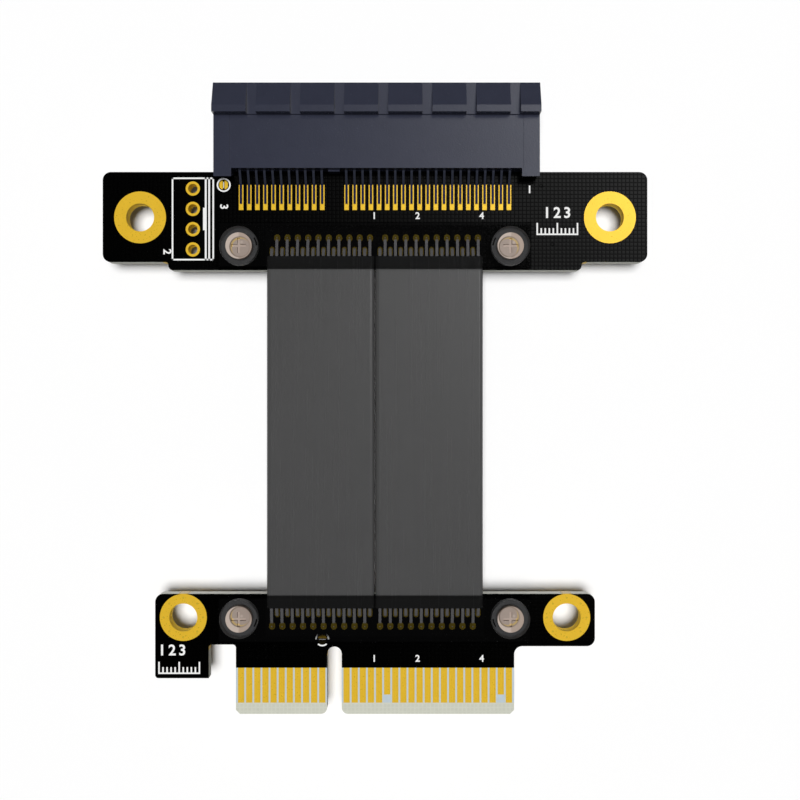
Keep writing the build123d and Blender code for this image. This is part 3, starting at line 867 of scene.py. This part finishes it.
# white lines of both boards: the header's frame, the jumper's circle and the arcs round the test pad
def makeBoardPrint():
    box = {"x0": -25.06, "x1": -19.84, "y0": 17.37, "y1": 27.6, "line": 0.2}
    innerLines = ((-20.98, -20.75), (-20.55, -20.33))
    latch = {"x0": -21.2, "x1": -20.98, "y0": 21.1, "y1": 23.87}
    jumperGap = {"x0": -18.69, "x1": -18.61, "y0": 26.3, "y1": 27.05}
    testGap = {"x0": -6.92, "x1": -6.08, "y0": -29.37, "y1": -29.28}
    ring = {"inner": 0.68, "outer": 0.86, "steps": 40, "arcSteps": 10}
    arcs = ((0.42, 0.85), (pi - 0.42, 0.85), (-pi / 2, 1.5))  # the middle and the sweep of each
    low, high = board["top"], board["top"] + board["inkRise"]
    x0, x1, y0, y1, line = (box[key] for key in ("x0", "x1", "y0", "y1", "line"))
    bm = bmesh.new()
    addBar(bm, x0, x1, y1 - line, y1, low, high)
    addBar(bm, x0, x1, y0, y0 + line, low, high)
    addBar(bm, x0, x0 + line, y0, y1, low, high)
    addBar(bm, x1 - line, x1, y0, y1, low, high)
    for left, right in innerLines:
        addBar(bm, left, right, y0, y1, low, high)
    for mark in (latch, jumperGap, testGap):
        addBar(bm, mark["x0"], mark["x1"], mark["y0"], mark["y1"], low, high)
    addTurned(bm, jumperPlace, [(ring["inner"], low), (ring["outer"], low),
                                (ring["outer"], high), (ring["inner"], high)], ring["steps"])
    for middle, sweep in arcs:
        addArc(bm, testPadPlace, ring, middle - sweep / 2, sweep, low, high)
    finishPiece("boardPrint", bm, whiteInk)


# plain numbers: one by each connector, and the lane counts above the slot and above the fingers
def makeBoardNumbers():
    marks = (("3", (-18.65, 24.0), 1.0, -pi / 2), ("2", (-25.65, 18.45), 1.0, -pi / 2),
             ("1", (19.05, 26.08), 0.95, 0.0))
    lanes = {"xs": (("1", -0.1), ("2", 5.25), ("4", 13.15)), "ys": (22.85, -31.72), "height": 0.85}
    low, high = board["top"], board["top"] + board["inkRise"]
    bm = bmesh.new()
    for text, place, height, turn in marks:
        addDigits(bm, text, place, height, turn, low, high)
    for text, x in lanes["xs"]:
        for y in lanes["ys"]:
            addDigits(bm, text, (x, y), lanes["height"], 0.0, low, high)
    finishPiece("boardNumbers", bm, whiteInk)


# a short ruler with three numbers on each board
def makePrintedRulers():
    ruler = {"numberHeight": 1.35, "numberStep": 1.25, "steps": 10, "longEvery": 5, "bar": 0.19,
             "long": 1.5, "short": 0.85}
    onSlotBoard = {"numbers": (22.45, 23.2), "left": 19.9, "right": 25.05, "base": 20.5}
    onPlugBoard = {"numbers": (-25.0, -30.72), "left": -26.72, "right": -21.55, "base": -33.6}
    low, high = board["top"], board["top"] + board["inkRise"]
    bar = ruler["bar"]
    bm = bmesh.new()
    for place in (onSlotBoard, onPlugBoard):
        left, right, base = place["left"], place["right"], place["base"]
        numberX, numberY = place["numbers"]
        for i in range(3):
            addDigits(bm, str(i + 1), (numberX + (i - 1) * ruler["numberStep"], numberY),
                      ruler["numberHeight"], 0.0, low, high)
        addBar(bm, left, right, base, base + bar, low, high)
        for i in range(ruler["steps"] + 1):
            x = left + (right - left - bar) * i / ruler["steps"]
            reach = ruler["long"] if i % ruler["longEvery"] == 0 else ruler["short"]
            addBar(bm, x, x + bar, base + bar, base + reach, low, high)
    finishPiece("printedRulers", bm, whiteInk)


# small vias under the mask, seen only as faint rings
def makeTentedVias():
    via = {"rise": 0.015, "steps": 14}
    profile = ((0.24, 0.0), (0.192, via["rise"]), (0.12, via["rise"]), (0.096, 0.0))  # radius and height
    block = {"x": -15.6, "y": -30.5, "stepX": 1.1, "stepY": -1.0, "columns": 3, "rows": 2}
    single = [(-12.5, -30.3), (-9.1, -31.1), (7.9, -30.2), (11.8, -30.2), (20.5, 26.6), (21.9, 19.4)]
    inBlock = [(block["x"] + block["stepX"] * i, block["y"] + block["stepY"] * j)
               for i in range(block["columns"]) for j in range(block["rows"])]
    bm = bmesh.new()
    for place in inBlock + single:
        addTurned(bm, place, [(r, board["top"] + z) for r, z in profile], via["steps"])
    finishPiece("tentedVias", bm, boardMask, smooth=True)


makePlating()
makeRingVias()
makeEdgePatches()
makeWirePads()
makeBoardPrint()
makeBoardNumbers()
makePrintedRulers()
makeTentedVias()
print("scene pieces made")


# Floor, light and camera

def makeFloor():
    look = {"halfSize": 2.0, "colour": rgb(0.985, 0.985, 0.985), "mottling": (0.004, 40.0), "rough": 0.9,
            "gloss": 0.0}
    bm = bmesh.new()
    bmesh.ops.create_grid(bm, x_segments=2, y_segments=2, size=look["halfSize"])
    mesh = bpy.data.meshes.new("floor")
    bm.to_mesh(mesh)
    bm.free()
    floor = bpy.data.objects.new("floor", mesh)
    bpy.context.collection.objects.link(floor)
    material, tree, shader = startMaterial("paleFloor")
    paintSurface(tree, shader, look["colour"], look["mottling"])
    shader.inputs["Roughness"].default_value = look["rough"]
    shader.inputs["Specular IOR Level"].default_value = look["gloss"]
    mesh.materials.append(material)


# white to the camera, a low even fill, and one soft bright panel for glossy faces to show
def makeWorld():
    light = {
        "fill": 0.042,
        "panel": 4.9,
        "panelDirection": (0.40, 0.36, 1.0),
        "panelSharpness": 32.0,
        "glossBase": 0.008,
        "horizon": 0.15,
    }
    world = bpy.data.worlds.new("studio")
    bpy.context.scene.world = world
    world.use_nodes = True
    tree = world.node_tree
    background = tree.nodes["Background"]
    coordinates = tree.nodes.new("ShaderNodeTexCoord")
    direction = coordinates.outputs["Generated"]
    towards = tree.nodes.new("ShaderNodeVectorMath")
    towards.operation = "DOT_PRODUCT"
    towards.inputs[1].default_value = Vector(light["panelDirection"]).normalized()
    join(tree, direction, towards.inputs[0])
    away = calc(tree, "SUBTRACT", 1.0, towards.outputs["Value"])
    falloff = calc(tree, "EXPONENT", calc(tree, "MULTIPLY", away, -light["panelSharpness"]))
    panel = calc(tree, "MULTIPLY", falloff, light["panel"])
    parts = tree.nodes.new("ShaderNodeSeparateXYZ")
    join(tree, direction, parts.inputs[0])
    low = calc(tree, "SUBTRACT", 1.0, parts.outputs["Z"])
    horizon = calc(tree, "MULTIPLY", calc(tree, "MULTIPLY", low, low), light["horizon"])
    gloss = calc(tree, "ADD", calc(tree, "ADD", panel, horizon), light["glossBase"])
    path = tree.nodes.new("ShaderNodeLightPath")
    seen = calc(tree, "MAXIMUM", path.outputs["Is Camera Ray"], path.outputs["Is Transmission Ray"])
    glossPart = calc(tree, "MULTIPLY", gloss, path.outputs["Is Glossy Ray"])
    unseen = calc(tree, "SUBTRACT", 1.0, calc(tree, "MAXIMUM", seen, path.outputs["Is Glossy Ray"]))
    fillPart = calc(tree, "MULTIPLY", unseen, light["fill"])
    strength = calc(tree, "ADD", calc(tree, "ADD", seen, glossPart), fillPart)
    background.inputs["Color"].default_value = rgb(1.0, 1.0, 1.0)
    join(tree, strength, background.inputs["Strength"])


# straight down and wide, so shadows lie right under the boards with soft rims
def makeKeyLight():
    key = {"strength": 3.04, "angle": radians(21.5), "tilt": radians(0.4), "height": 0.5}
    lamp = bpy.data.lights.new("key", "SUN")
    lamp.energy = key["strength"]
    lamp.angle = key["angle"]
    holder = bpy.data.objects.new("key", lamp)
    bpy.context.collection.objects.link(holder)
    holder.location.z = key["height"]
    holder.rotation_euler.x = key["tilt"]
    holder.visible_glossy = False


# looks straight down, a little right of the part's middle
def makeCamera():
    shot = {"place": (3.08, 0.17, 128.2), "lens": 44.9, "sensor": 36.0, "nearest": 0.005, "farthest": 20.0}
    lens = bpy.data.cameras.new("camera")
    lens.lens = shot["lens"]
    lens.sensor_width = shot["sensor"]
    lens.clip_start = shot["nearest"]
    lens.clip_end = shot["farthest"]
    holder = bpy.data.objects.new("camera", lens)
    bpy.context.collection.objects.link(holder)
    holder.location = Vector(shot["place"]) * mm
    bpy.context.scene.camera = holder


makeFloor()
makeWorld()
makeKeyLight()
makeCamera()
bpy.context.scene.view_settings.view_transform = "Standard"
print("floor, light and camera made")
